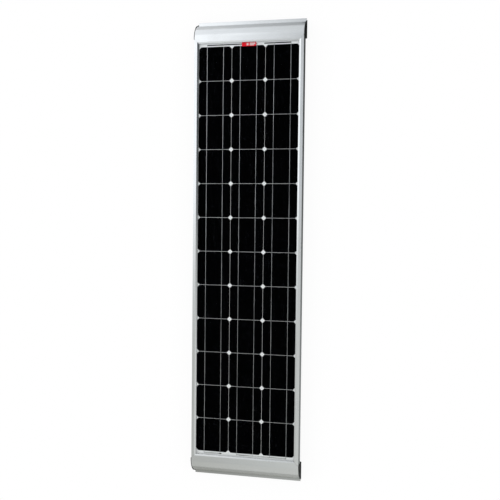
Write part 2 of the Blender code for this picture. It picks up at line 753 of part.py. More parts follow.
def make_diodes():
    """Bypass diodes, each between two neighbouring terminals."""
    y, z = DIODE_Y, DIODE_Z
    half = DIODE_LENGTH / 2
    for index, (left, right) in enumerate(zip(LEAD_X, LEAD_X[1:])):
        middle = (left + right) / 2
        reach = (right - left - TERMINAL_SIZE[0]) / 2 - GAP
        body = rod((middle - half, y, z), (middle + half, y, z), DIODE_RADIUS, 20)
        diode = part(f"bypass_diode_{index + 1}", body, "diode_epoxy")
        wire = rod((middle - reach, y, z), (middle + reach, y, z), DIODE_WIRE_RADIUS, 8)
        combine(diode, "UNION", helper(f"diode_wire_{index + 1}", wire))


def turned(profile, sides=24):
    """A solid of revolution about local Z, from (radius, height) points down its outer side."""
    mesh = bpy.data.meshes.new("profile")
    mesh.from_pydata([(r, 0, z) for r, z in profile], [(i, i + 1) for i in range(len(profile) - 1)], [])
    drawn = bpy.data.objects.new("profile", mesh)
    CUTTERS.objects.link(drawn)
    screw = drawn.modifiers.new("turn", "SCREW")
    screw.steps = sides
    screw.render_steps = sides
    screw.use_merge_vertices = True
    screw.merge_threshold = 0.00001
    bpy.context.view_layer.update()
    made = bpy.data.meshes.new_from_object(drawn.evaluated_get(bpy.context.evaluated_depsgraph_get()))
    bpy.data.objects.remove(drawn, do_unlink=True)
    made.shade_smooth()
    made.set_sharp_from_angle(angle=math.radians(30))
    return made


def dome_profile(depth):
    """Half of the dome nut's outer shape, from (radius, height) points. Its hexagon hides the lower end."""
    tip = depth + NUT_TIP
    root = GLAND_HEX / 2 - GAP
    base = NUT_HEX_LENGTH - 0.0025
    return [
        (0, tip),
        (root - 0.0026, tip),
        (root - 0.0013, tip - 0.0012),
        (root - 0.0004, tip - 0.0040),
        (root, base + 0.0020),
        (root, base),
        (0, base),
    ]


def hollow_profile(depth):
    """Half of the dome nut's inside: cable mouth, seal seat and thread."""
    tip = depth + NUT_TIP
    return [
        (0, tip + 0.002),
        (CABLE_RADIUS, tip + 0.002),
        (CABLE_RADIUS, tip - 0.0016),
        (SEAL_RADIUS + GAP, depth + GAP),
        (THREAD_RADIUS + GAP, depth - 0.0010),
        (THREAD_RADIUS + GAP, -0.002),
        (0, -0.002),
    ]


def make_glands():
    """A body through the wall, a lock nut inside, and outside it a seal under a dome nut."""
    z = GLAND_Z
    wall_out = BOX_Y - BOX_SIZE[1] / 2
    wall_in = wall_out + BOX_WALL
    hex_radius = GLAND_HEX / 2 / math.cos(math.pi / 6)
    flange_out = wall_out - GAP - GLAND_FLANGE
    mouth = flange_out - GLAND_NOSE
    inner_end = wall_in + THREAD_INSIDE
    seal_out = mouth - GAP - SEAL_LENGTH
    nut_start = flange_out - GAP
    depth = nut_start - seal_out
    for side, side_x in (("left", -1), ("right", 1)):
        x = side_x * GLAND_X
        flange = rod((x, flange_out, z), (x, wall_out - GAP, z), hex_radius, 6, smooth=False)
        body = part(f"gland_body_{side}", flange, "black_plastic")
        thread = rod((x, mouth, z), (x, inner_end, z), THREAD_RADIUS, 24)
        bore = rod((x, mouth - BORE_RADIUS, z), (x, inner_end + BORE_RADIUS, z), BORE_RADIUS, 24)
        combine(body, "UNION", helper(f"gland_thread_{side}", thread))
        combine(body, "DIFFERENCE", helper(f"gland_bore_{side}", bore))

        lock_in = wall_in + GAP + LOCK_NUT
        lock_hex = rod((x, wall_in + GAP, z), (x, lock_in, z), hex_radius, 6, smooth=False)
        lock = part(f"gland_lock_nut_{side}", lock_hex, "black_plastic")
        lock_bore = rod((x, wall_out, z), (x, lock_in + GAP, z), THREAD_RADIUS + GAP, 24)
        combine(lock, "DIFFERENCE", helper(f"lock_bore_{side}", lock_bore))

        seal_tube = rod((x, seal_out, z), (x, mouth - GAP, z), SEAL_RADIUS, 24)
        seal = part(f"gland_seal_{side}", seal_tube, "black_rubber")
        seal_bore = rod((x, seal_out - GAP, z), (x, mouth, z), CABLE_RADIUS, 24)
        combine(seal, "DIFFERENCE", helper(f"seal_bore_{side}", seal_bore))

        # The dome nut is modelled about its own axis: local Z runs out of the box.
        place = Matrix.Translation((x, nut_start, z)) @ Matrix.Rotation(math.pi / 2, 4, "X")
        hexagon = rod((0, 0, 0), (0, 0, NUT_HEX_LENGTH), hex_radius, 6, smooth=False)
        nut = part(f"gland_dome_nut_{side}", hexagon, "black_plastic", place)
        dome = turned(dome_profile(depth))
        hollow = turned(hollow_profile(depth))
        combine(nut, "UNION", helper(f"nut_dome_{side}", dome, place))
        combine(nut, "DIFFERENCE", helper(f"nut_hollow_{side}", hollow, place))


make_frame()
make_corner_keys()
make_end_caps()
make_strings()
make_buses()
make_leads()
make_laminate()
make_box_base()
make_lid()
make_terminals()
make_diodes()
make_glands()
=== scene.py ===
"""Looks for the slim solar panel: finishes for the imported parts, finer pieces over them, light and camera.

Metres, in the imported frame: +Z is the panel's normal, Y its long axis with the badge end at +Y, and z = 0
the roof.
"""

import math
import random

import bmesh
import bpy
from mathutils import Matrix, Vector


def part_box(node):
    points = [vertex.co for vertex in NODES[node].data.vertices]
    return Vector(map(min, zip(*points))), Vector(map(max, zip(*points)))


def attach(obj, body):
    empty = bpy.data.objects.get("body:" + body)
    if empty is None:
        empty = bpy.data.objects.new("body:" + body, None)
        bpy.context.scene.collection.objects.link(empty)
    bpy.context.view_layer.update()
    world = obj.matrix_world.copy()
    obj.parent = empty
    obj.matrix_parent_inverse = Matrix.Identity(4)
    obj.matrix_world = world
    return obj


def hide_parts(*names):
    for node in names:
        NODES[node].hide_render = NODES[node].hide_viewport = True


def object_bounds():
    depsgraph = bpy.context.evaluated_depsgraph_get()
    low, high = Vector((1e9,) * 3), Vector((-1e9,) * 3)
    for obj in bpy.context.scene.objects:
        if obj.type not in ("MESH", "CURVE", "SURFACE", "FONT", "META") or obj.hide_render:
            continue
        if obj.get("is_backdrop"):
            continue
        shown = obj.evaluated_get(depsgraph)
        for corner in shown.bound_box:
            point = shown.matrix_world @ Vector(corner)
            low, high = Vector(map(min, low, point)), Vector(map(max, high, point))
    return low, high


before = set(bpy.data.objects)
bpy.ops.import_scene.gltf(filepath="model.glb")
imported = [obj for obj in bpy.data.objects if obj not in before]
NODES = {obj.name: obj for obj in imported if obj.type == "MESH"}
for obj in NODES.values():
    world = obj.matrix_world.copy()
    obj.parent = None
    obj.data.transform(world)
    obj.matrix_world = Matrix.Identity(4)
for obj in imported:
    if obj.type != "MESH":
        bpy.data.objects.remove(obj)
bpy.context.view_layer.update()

# Camera: high over the panel and to its right. Its turn is in degrees.
CAMERA_PLACE = (0.6344, 0.1229, 2.7904)
CAMERA_TURN = (-2.213, 12.808, 0.632)
CAMERA_LENS = 54.37

# Cells: rows on an even pitch, with clipped corners and a line grid across the ribbons.
ROWS = 12
CELL = 0.1260
PITCH = 0.127
CELL_CORNER = 0.0087
CELL_THICKNESS = 0.0002
FINGER_PITCH = 0.0018
FINGER_SHARE = 0.055
COLUMNS = {"left": -1, "middle": 0, "right": 1}

# Tab ribbons, two to a cell, which dip between the cells and waver a little.
TAB_OFFSET = 0.0312
TAB_WIDTH = 0.0015
TAB_THICKNESS = 0.00018
TAB_TOP_SHARE = 0.8
TAB_STEPS = 240
TAB_DIP = 0.00012
TAB_DIP_REACH = 0.004
TAB_WAVER = 0.00002
TAB_WIDTH_WAVER = 0.05
TAB_SEED = 40

# Solder: a bead's width, length and rise, and the dark patch from inside a bus's end to past it.
BEAD_SIZE = (0.0024, 0.0034)
BEAD_RISE = 0.00024
BEAD_REACH = 0.002
PATCH_INSIDE = 0.0045
PATCH_PAST = 0.0025
PATCH_THICKNESS = 0.00015
PATCH_ROUND = 0.0002

# Print: how far it stands off its label, its thickness, and the label shares that place the badge's marks.
LIFT = 0.00001
INK = 0.00004
SUN_PLACE = 0.40
SUN_RADIUS = 0.20
SUN_STEPS = 32
RAYS = 8
RAY_SPAN = (0.26, 0.40)
RAY_HALF_WIDTH = 0.045
BAR_START = 0.55
BAR_WIDTHS = (0.38, 0.38, 0.28)
BAR_PITCH = 0.25
BAR_HALF_HEIGHT = 0.085
RULE_WIDTH = 0.00035
RULE_MARGIN = 0.0035
RULE_ROWS = 7
RULE_SPLIT = 0.55

# Rounded edges by kind of part, the gap that packed corners are welded over, the angle above which an edge is
# rounded, and the angles up to which faces shade smooth, in degrees.
EDGE_ROUND = {"side_rail": 0.00025, "end_spoiler": 0.00025, "junction_box": 0.0003, "end_cap": 0.0003}
WELD = 1e-6
ROUND_ABOVE = 50
EXTRUSIONS = ("side_rail", "end_spoiler")
EXTRUSION_SMOOTH = 12
SMOOTH = 30

# Painted shade on the -Y end profile's foot, standing in for the shadow above its flange: full up to the LOW
# height, gone at the HIGH height, fading in over the FADE span from that end, and thinner over the flange's
# outer edge.
FOOT_SHADE = (0.12, 0.12, 0.10, 1.0)
FOOT_SHADE_SHARE = 0.58
FOOT_SHADE_LOW = 0.010
FOOT_SHADE_HIGH = 0.040
FOOT_SHADE_FADE = (0.16, 0.11)
FOOT_SHADE_EDGE = (0.004, 0.012)
FOOT_SHADE_EDGE_SHARE = 0.65

# The glass's skin: a low index, less a small cut that keeps it from mirroring head on.
SKIN_INDEX = 1.055
SKIN_CUT = 0.006

# Light. Each grade runs over X through stops of (X, red, green, blue), and over Y from its near row, for the
# -Y end, to its far row, for the +Y end. SPAN is the range of X and ENDS the range of Y. A node's stops only
# hold colours up to 1, so they are kept as shares of BRIGHTEST.
# The soft box is bright over the badge end's left, dark on that end's right, and even over the other end.
LAMP_HEIGHT = 1.70
LAMP_HALF = (4.0, 2.4)
LAMP_SPAN = (-2.0, 1.6)
LAMP_ENDS = (-0.78, 0.58)
LAMP_NEAR = (
    (-1.78, 0.79, 0.80, 0.78),
    (-0.72, 0.63, 0.64, 0.62),
    (-0.07, 0.83, 0.85, 0.83),
    (0.51, 0.92, 0.94, 0.93),
    (1.4, 0.9, 0.9, 0.9),
)
LAMP_FAR = (
    (-1.78, 1.60, 1.64, 1.68),
    (-0.72, 1.68, 1.72, 1.78),
    (-0.42, 1.22, 1.26, 1.30),
    (-0.07, 0.93, 0.96, 1.00),
    (0.34, 0.03, 0.04, 0.05),
    (0.75, 0.04, 0.05, 0.06),
    (1.4, 0.9, 0.9, 0.9),
)

# The floor's lit colour, which only reflections and bounced light see, is painted shade: graded under the
# panel, darkest to the right of it towards the +Y end, where the panel's shadow falls. The sky, beyond the
# soft box, is graded over directions, not places.
FLOOR_SPAN = (-0.25, 0.25)
FLOOR_ENDS = (-0.85, 0.85)
FLOOR_NEAR = ((-0.20, 0.56, 0.56, 0.53), (0.18, 0.68, 0.68, 0.65), (0.208, 0.56, 0.58, 0.57))
FLOOR_FAR = ((-0.20, 0.92, 0.92, 0.92), (0.18, 0.64, 0.65, 0.66), (0.208, 0.16, 0.165, 0.165))
SKY_SPAN = (-0.5, 0.5)
SKY_ENDS = (-0.3, 0.3)
SKY_NEAR = ((-0.30, 0.66, 0.67, 0.64), (-0.15, 0.84, 0.85, 0.82))
SKY_FAR = ((-0.30, 1.40, 1.44, 1.50), (-0.15, 0.88, 0.91, 0.94), (0.30, 0.50, 0.52, 0.54))
BRIGHTEST = 2.0
UNDER_LIGHT = 0.8
UNDER_COLOUR = (0.9, 0.92, 0.94, 1.0)
UNDER_INSET = (0.02, 0.001)
UNDER_HEIGHT = -0.0001
FLOOR_HEIGHT = -0.0002
FLOOR_HALF = 8.0
CONTACT_REACH = 0.12
CONTACT_OPEN = (0.3, 1.0)
CONTACT_SHADE = (0.94, 1.0)

# Sockets of a colour Mix node.
MIX_A, MIX_B, MIX_OUT = 6, 7, 2


# ---- materials ----


class Look:
    """A procedural material: a Principled shader whose sockets can be fed by pattern nodes."""

    def __init__(self, name, colour, roughness, metallic=0.0, **sockets):
        self.material = bpy.data.materials.new(name)
        self.material.use_nodes = True
        self.tree = self.material.node_tree
        self.shader = self.tree.nodes["Principled BSDF"]
        self.feed(self.shader.inputs["Base Color"], (*colour, 1.0))
        self.feed(self.shader.inputs["Roughness"], roughness)
        self.feed(self.shader.inputs["Metallic"], metallic)
        for socket, value in sockets.items():
            self.feed(self.shader.inputs[socket.replace("_", " ")], value)
        self.place = self.add("ShaderNodeTexCoord").outputs["Object"]

    def feed(self, socket, value):
        """Links a socket to value, or sets it."""
        if isinstance(value, bpy.types.NodeSocket):
            self.tree.links.new(value, socket)
        else:
            socket.default_value = value

    def add(self, kind, inputs=None, **settings):
        """A node with these inputs fed and these settings."""
        node = self.tree.nodes.new(kind)
        for name, value in settings.items():
            setattr(node, name, value)
        for key, value in (inputs or {}).items():
            self.feed(node.inputs[key], value)
        return node

    def math(self, operation, a, b=0.0, clamp=False):
        node = self.add("ShaderNodeMath", {0: a, 1: b}, operation=operation, use_clamp=clamp)
        return node.outputs[0]

    def stretched(self, scale):
        """The position, scaled along each axis."""
        node = self.add("ShaderNodeVectorMath", {0: self.place, 1: scale}, operation="MULTIPLY")
        return node.outputs[0]

    def axis(self, index):
        return self.add("ShaderNodeSeparateXYZ", {0: self.place}).outputs[index]

    def noise(self, scale, detail=2.0, rough=0.5, lean=0.0):
        """Noise from 0 to 1. scale is how many lumps fit in a metre, along each axis."""
        node = self.add(
            "ShaderNodeTexNoise",
            {
                "Vector": self.stretched(scale),
                "Scale": 1.0,
                "Detail": detail,
                "Roughness": rough,
                "Distortion": lean,
            },
        )
        return node.outputs[0]

    def between(self, value, start, end, low=0.0, high=1.0):
        """value carried from the range start..end to low..high, and held there."""
        node = self.add(
            "ShaderNodeMapRange",
            {"Value": value, "From Min": start, "From Max": end, "To Min": low, "To Max": high},
        )
        return node.outputs[0]

    def blend(self, share, a, b):
        """The colour a where share is 0, running to b where it is 1."""
        node = self.add("ShaderNodeMix", data_type="RGBA")
        self.feed(node.inputs["Factor"], share)
        self.feed(node.inputs[MIX_A], a)
        self.feed(node.inputs[MIX_B], b)
        return node.outputs[MIX_OUT]

    def bump(self, height, distance):
        """Adds relief: height from 0 to 1 stands for distance in metres."""
        inputs = {"Height": height, "Distance": distance, "Strength": 1.0}
        normal = self.shader.inputs["Normal"]
        if normal.is_linked:
            inputs["Normal"] = normal.links[0].from_socket
        self.feed(normal, self.add("ShaderNodeBump", inputs).outputs[0])


def tone(colour, by):
    """A colour made darker or lighter."""
    return (*(min(1.0, c * by) for c in colour), 1.0)


def anodised(name, along, painted_foot_shade=False):
    """Satin anodised aluminium with die lines along the extrusion, a fine grain and handling marks.

    With the foot shade on, the foot of the -Y end is painted darker, a painted shade thickest in the corner
    above its flange, where the shadow falls.

    If dirty, the foot of the -Y end holds a thin film of dirt, thickest in the corner above its flange."""
    colour = (0.62, 0.63, 0.63)
    roughness = 0.21
    look = Look(name, colour, roughness, 1.0)
    lines = look.noise([4.0 if i == along else 900.0 for i in range(3)], detail=3, rough=0.6)
    marks = look.noise((9.0, 9.0, 9.0), detail=4, rough=0.6)
    cast = look.noise((2.2, 2.2, 2.2), detail=1)
    grain = look.noise((2600.0, 2600.0, 2600.0), detail=1)
    shade = look.blend(look.between(lines, 0.25, 0.75), tone(colour, 0.93), tone(colour, 1.03))
    shade = look.blend(look.between(cast, 0.4, 0.62, 0.0, 0.06), shade, (0.60, 0.66, 0.72, 1.0))
    shade = look.blend(look.between(marks, 0.56, 0.74, 0.0, 0.10), shade, tone(colour, 0.70))
    # Painted shade: the foot of the -Y end is darkened towards the floor, in place of the shadow above the
    # flange.
    if painted_foot_shade:
        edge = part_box("end_spoiler_bottom")[0].y
        low = look.between(look.axis(2), FOOT_SHADE_LOW, FOOT_SHADE_HIGH, FOOT_SHADE_SHARE, 0.0)
        near = look.between(look.axis(1), edge + FOOT_SHADE_FADE[0], edge + FOOT_SHADE_FADE[1], 0.0, 1.0)
        thin = look.between(look.axis(1), edge + FOOT_SHADE_EDGE[0], edge + FOOT_SHADE_EDGE[1], FOOT_SHADE_EDGE_SHARE, 1.0)
        share = look.math("MULTIPLY", look.math("MULTIPLY", low, near), thin)
        shade = look.blend(share, shade, FOOT_SHADE)
    look.feed(look.shader.inputs["Base Color"], shade)
    rough = look.between(lines, 0.2, 0.8, roughness - 0.05, roughness + 0.05)
    rough = look.math("ADD", rough, look.between(marks, 0.35, 0.75, -0.04, 0.08))
    look.feed(look.shader.inputs["Roughness"], rough)
    look.bump(lines, 0.000012)
    look.bump(grain, 0.000006)
    return look.material


def moulded(name, colour, roughness, pit=1400.0, depth=0.00003, wear=0.5, gloss=0.5):
    """Moulded plastic or rubber: a fine eroded grain, uneven gloss and a little dust."""
    look = Look(name, colour, roughness, Specular_IOR_Level=gloss)
    grain = look.noise((pit, pit, pit), detail=2, rough=0.6)
    patches = look.noise((26.0, 26.0, 26.0), detail=4, rough=0.6)
    dust = look.noise((120.0, 120.0, 120.0), detail=5, rough=0.7)
    shade = look.blend(look.between(patches, 0.3, 0.7), tone(colour, 0.85), tone(colour, 1.15))
    dusty = tuple(0.75 * c + 0.035 for c in colour)
    shade = look.blend(look.between(dust, 0.52, 0.80, 0.0, wear), shade, (*dusty, 1.0))
    look.feed(look.shader.inputs["Base Color"], shade)
    look.feed(
        look.shader.inputs["Roughness"],
        look.between(patches, 0.25, 0.75, roughness - 0.07, roughness + 0.08),
    )
    look.bump(grain, depth)
    return look.material


def cast_metal(name, colour, roughness, lump=900.0, depth=0.00005):
    """Cast or machined metal with a fine uneven skin."""
    look = Look(name, colour, roughness, 1.0)
    skin = look.noise((lump, lump, lump), detail=3, rough=0.6)
    stains = look.noise((60.0, 60.0, 60.0), detail=4, rough=0.65)
    shade = look.blend(look.between(stains, 0.35, 0.7), tone(colour, 1.05), tone(colour, 0.72))
    look.feed(look.shader.inputs["Base Color"], shade)
    look.feed(
        look.shader.inputs["Roughness"],
        look.between(stains, 0.3, 0.75, roughness - 0.06, roughness + 0.14),
    )
    look.bump(skin, depth)
    return look.material


def tinned(name, colour, roughness):
    """Hot-dipped tin on copper: long ripples where the solder ran."""
    look = Look(name, colour, roughness, 1.0)
    ripple = look.noise((500.0, 90.0, 300.0), detail=3, rough=0.6, lean=0.4)
    cloud = look.noise((30.0, 7.0, 30.0), detail=3, rough=0.6)
    shade = look.blend(look.between(cloud, 0.35, 0.68), tone(colour, 0.62), tone(colour, 1.12))
    look.feed(look.shader.inputs["Base Color"], shade)
    look.feed(
        look.shader.inputs["Roughness"],
        look.between(ripple, 0.25, 0.75, roughness - 0.06, roughness + 0.10),
    )
    look.bump(ripple, 0.00004)
    return look.material


def wafer():
    """Mono silicon: a nitride coat of nearly black blue, with thin silver fingers across the ribbons."""
    colour = (0.0003, 0.0004, 0.0006)
    look = Look("mono_cell", colour, 0.42, 0.0, Specular_IOR_Level=0.005)
    cloud = look.noise((14.0, 14.0, 14.0), detail=3, rough=0.55)
    shade = look.blend(cloud, tone(colour, 0.7), (0.0004, 0.0005, 0.0009, 1.0))
    phase = look.math("FRACT", look.math("DIVIDE", look.axis(1), FINGER_PITCH))
    finger = look.math("LESS_THAN", phase, FINGER_SHARE)
    shade = look.blend(look.math("MULTIPLY", finger, 0.5), shade, (0.005, 0.0055, 0.0065, 1.0))
    look.feed(look.shader.inputs["Base Color"], shade)
    look.feed(look.shader.inputs["Roughness"], look.between(cloud, 0.3, 0.7, 0.38, 0.48))
    look.bump(cloud, 0.000004)
    return look.material


def backsheet_white():
    """White laminate film: the faint fibres in it, and the ribbons pressing through from above."""
    colour = (0.91, 0.915, 0.92)
    look = Look("white_backsheet", colour, 0.46)
    fibres = look.noise((380.0, 380.0, 380.0), detail=3, rough=0.6)
    cloud = look.noise((7.0, 7.0, 7.0), detail=3, rough=0.6)
    look.feed(
        look.shader.inputs["Base Color"],
        look.blend(look.between(cloud, 0.3, 0.7), tone(colour, 0.97), (0.93, 0.935, 0.93, 1.0)),
    )
    look.feed(look.shader.inputs["Roughness"], look.between(fibres, 0.3, 0.7, 0.42, 0.54))
    ribbon = look.math("PINGPONG", look.math("ADD", look.axis(0), TAB_OFFSET), PITCH / 2)
    near = look.between(look.math("ABSOLUTE", ribbon), 0.0, 0.0022, 1.0, 0.0)
    look.bump(near, 0.00012)
    look.bump(fibres, 0.00002)
    return look.material


def clear_film():
    """Clear encapsulant, which hardly shows between the glass and the cells."""
    look = Look("clear_film", (0.30, 0.30, 0.30), 0.30, 0.0, Alpha=0.0004, Specular_IOR_Level=0.1)
    waves = look.noise((40.0, 40.0, 40.0), detail=2)
    look.feed(look.shader.inputs["Roughness"], look.between(waves, 0.3, 0.7, 0.25, 0.40))
    look.bump(waves, 0.00005)
    return look.material


def solar_glass():
    """Low-iron glass with an anti-glare skin: it mirrors little head on, and more along the surface."""
    look = Look("solar_glass", (0.86, 0.90, 0.92), 0.10, 1.0)
    dimples = look.noise((700.0, 700.0, 700.0), detail=1)
    smears = look.noise((12.0, 5.0, 12.0), detail=4, rough=0.6)
    look.feed(look.shader.inputs["Roughness"], look.between(smears, 0.3, 0.75, 0.08, 0.12))
    look.bump(dimples, 0.000004)
    see = look.add("ShaderNodeBsdfTransparent", {"Color": (0.996, 0.999, 0.998, 1.0)}).outputs[0]
    fresnel = look.add("ShaderNodeFresnel", {"IOR": SKIN_INDEX}).outputs[0]
    glance = look.math("SUBTRACT", fresnel, SKIN_CUT, clamp=True)
    mixed = look.add("ShaderNodeMixShader", {0: glance, 1: see, 2: look.shader.outputs[0]})
    out = look.tree.nodes["Material Output"]
    look.tree.links.new(mixed.outputs[0], out.inputs["Surface"])
    return look.material


def printed(name, colour, roughness=0.38, speck=0.10):
    """Printed film: flat ink with a slight screen grain."""
    look = Look(name, colour, roughness, Specular_IOR_Level=0.12)
    grain = look.noise((1800.0, 1800.0, 1800.0), detail=1)
    cloud = look.noise((70.0, 70.0, 70.0), detail=2)
    share = look.math("MULTIPLY", look.math("ADD", grain, cloud), 0.5)
    look.feed(
        look.shader.inputs["Base Color"],
        look.blend(share, tone(colour, 1 - speck), tone(colour, 1 + speck)),
    )
    look.feed(look.shader.inputs["Roughness"], look.between(cloud, 0.3, 0.7, roughness, roughness + 0.08))
    look.bump(grain, 0.00001)
    return look.material


LOOKS = {
    "rail": anodised("anodised_rail", 1),
    # The end profile's finish carries the painted shade at its foot.
    "spoiler": anodised("anodised_end_profile_foot_shade", 0, painted_foot_shade=True),
    "cast": cast_metal("cast_key", (0.50, 0.51, 0.52), 0.55),
    "cap": moulded("cap_plastic", (0.008, 0.0085, 0.007), 0.40, wear=0.2, gloss=0.25),
    "box": moulded("box_plastic", (0.020, 0.020, 0.021), 0.48),
    "rubber": moulded("seal_rubber", (0.018, 0.018, 0.018), 0.72, pit=700.0, depth=0.00005),
    "glass": solar_glass(),
    "film": clear_film(),
    "cell": wafer(),
    "milky": printed("milky_film", (0.88, 0.885, 0.89), 0.40, speck=0.02),
    "ribbon": tinned("tinned_ribbon", (0.42, 0.43, 0.44), 0.34),
    # Painted reflection: both buses are one tinned copper, the top one painted nearly black for the dark
    # reflection it shows, the bottom one painted bright for a light one.
    "bus": tinned("tinned_bus_painted_dark", (0.05, 0.052, 0.055), 0.36),
    "bus_painted_bright": tinned("tinned_bus_painted_bright", (0.60, 0.61, 0.62), 0.40),
    "sheet": backsheet_white(),
    "red": printed("red_label", (0.82, 0.008, 0.022)),
    "white": printed("white_ink", (0.82, 0.82, 0.82), speck=0.04),
    "silver": printed("silver_label", (0.62, 0.63, 0.64), 0.35),
    "ink": printed("black_ink", (0.02, 0.02, 0.02)),
    "sealant": moulded("sealant", (0.74, 0.74, 0.72), 0.50, pit=500.0, depth=0.00006, wear=0.2),
    "brass": cast_metal("brass", (0.72, 0.54, 0.26), 0.32, 2000.0, 0.00001),
    "steel": cast_metal("zinc_steel", (0.58, 0.58, 0.60), 0.32, 2000.0, 0.00001),
    "epoxy": moulded("diode_epoxy", (0.03, 0.03, 0.034), 0.40),
}

FINISH = {
    "side_rail": "rail",
    "end_spoiler": "spoiler",
    "corner_key": "cast",
    "end_cap": "cap",
    "junction_box": "box",
    "gland_seal": "rubber",
    "gland_": "box",
    "lid_seal": "rubber",
    "lid_hinge_pin": "steel",
    "front_glass": "glass",
    "front_encapsulant": "film",
    "rear_encapsulant": "milky",
    # Painted reflection: the top and bottom buses take the dark and the bright copy of one tin.
    "bus_ribbon_top": "bus",
    "bus_ribbon_bottom": "bus_painted_bright",
    "return_ribbon": "ribbon",
    "lead_ribbon": "ribbon",
    "backsheet": "sheet",
    "front_badge": "red",
    "rear_sticker": "silver",
    "edge_sealant": "sealant",
    "box_adhesive": "sealant",
    "terminal_screw": "steel",
    "terminal": "brass",
    "bypass_diode": "epoxy",
    "cell_string": "cell",
}


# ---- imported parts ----


def clean_shading():
    """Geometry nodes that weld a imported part's split corners and shade its round faces smooth."""
    group = bpy.data.node_groups.new("clean_shading", "GeometryNodeTree")
    group.interface.new_socket("Geometry", in_out="INPUT", socket_type="NodeSocketGeometry")
    group.interface.new_socket("Geometry", in_out="OUTPUT", socket_type="NodeSocketGeometry")
    group.interface.new_socket("Angle", in_out="INPUT", socket_type="NodeSocketFloat")
    nodes, links = group.nodes, group.links
    start = nodes.new("NodeGroupInput")
    weld = nodes.new("GeometryNodeMergeByDistance")
    weld.inputs["Distance"].default_value = WELD
    drop = nodes.new("GeometryNodeRemoveAttribute")
    drop.inputs["Name"].default_value = "custom_normal"
    faces = nodes.new("GeometryNodeSetShadeSmooth")
    faces.inputs["Shade Smooth"].default_value = True
    angle = nodes.new("GeometryNodeInputMeshEdgeAngle")
    steep = nodes.new("FunctionNodeCompare")
    steep.operation = "GREATER_THAN"
    edges = nodes.new("GeometryNodeSetShadeSmooth")
    edges.domain = "EDGE"
    edges.inputs["Shade Smooth"].default_value = False
    end = nodes.new("NodeGroupOutput")
    links.new(start.outputs[0], weld.inputs[0])
    links.new(weld.outputs[0], drop.inputs[0])
    links.new(drop.outputs[0], faces.inputs[0])
    links.new(faces.outputs[0], edges.inputs[0])
    links.new(angle.outputs["Unsigned Angle"], steep.inputs[0])
    links.new(start.outputs["Angle"], steep.inputs[1])
    links.new(steep.outputs[0], edges.inputs["Selection"])
    links.new(edges.outputs[0], end.inputs[0])
    return group


SHADING = clean_shading()
ANGLE_SOCKET = next(s.identifier for s in SHADING.interface.items_tree if s.name == "Angle")


def soften(obj, width):
    """Rounds a piece's sharp edges a little."""
    bevel = obj.modifiers.new("edges", "BEVEL")
    bevel.width = width
    bevel.segments = 2
    bevel.limit_method = "ANGLE"
    bevel.angle_limit = math.radians(ROUND_ABOVE)
    bevel.harden_normals = True


def finish_packed():
    """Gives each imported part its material, its shading and, on frame and plastic, rounded edges."""
    for name, obj in NODES.items():
        kind = next(k for k in FINISH if name.startswith(k))
        obj.data.materials.clear()
        obj.data.materials.append(LOOKS[FINISH[kind]])
        weld = obj.modifiers.new("shading", "NODES")
        weld.node_group = SHADING
        weld[ANGLE_SOCKET] = math.radians(EXTRUSION_SMOOTH if kind in EXTRUSIONS else SMOOTH)
        if kind in EDGE_ROUND:
            soften(obj, EDGE_ROUND[kind])


# ---- new pieces ----


def piece(name, build, look, body="panel"):
    """A piece made by build(bmesh), given a finish, and tied to a body."""
    shape = bmesh.new()
    build(shape)
    bmesh.ops.recalc_face_normals(shape, faces=shape.faces)
    mesh = bpy.data.meshes.new(name)
    shape.to_mesh(mesh)
    shape.free()
    mesh.materials.append(LOOKS[look])
    obj = bpy.data.objects.new(name, mesh)
    bpy.context.scene.collection.objects.link(obj)
    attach(obj, body)
    return obj


def oval(shape, centre, half_x, half_y, steps):
    """A level loop of vertices around centre."""
    turns = [2 * math.pi * i / steps for i in range(steps)]
    x, y, z = centre
    return [shape.verts.new((x + half_x * math.cos(turn), y + half_y * math.sin(turn), z)) for turn in turns]


def rectangle(left, bottom, right, top):
    """A flat outline's four corners."""
    return [(left, bottom), (right, bottom), (right, top), (left, top)]


def bridge(shape, loops):
    """Walls from each loop of vertices to the next."""
    for before, after in zip(loops, loops[1:]):
        for i in range(len(before)):
            j = (i + 1) % len(before)
            shape.faces.new((before[i], before[j], after[j], after[i]))


def prism(shape, points, low, high):
    """A closed prism over a flat outline."""
    bottom = [shape.verts.new((x, y, low)) for x, y in points]
    top = [shape.verts.new((x, y, high)) for x, y in points]
    shape.faces.new(bottom[::-1])
    shape.faces.new(top)
    bridge(shape, [bottom, top])


def sweep(shape, stations):
    """A closed strip through four-cornered sections."""
    loops = [[shape.verts.new(corner) for corner in station] for station in stations]
    shape.faces.new(loops[0][::-1])
    shape.faces.new(loops[-1])
    bridge(shape, loops)


def wafer_outline(x, y):
    """A square wafer with clipped corners."""
    half = CELL / 2
    cut = half - CELL_CORNER
    corners = (
        (half, cut), (cut, half), (-cut, half), (-half, cut),
        (-half, -cut), (-cut, -half), (cut, -half), (half, -cut),
    )
    return [(x + dx, y + dy) for dx, dy in corners]


def ribbon_section(x, y, z, half):
    """A tab ribbon's section: a flat strip, a little narrower on top."""
    top = z + TAB_THICKNESS
    narrow = half * TAB_TOP_SHARE
    return [(x - half, y, z), (x + half, y, z), (x + narrow, y, top), (x - narrow, y, top)]


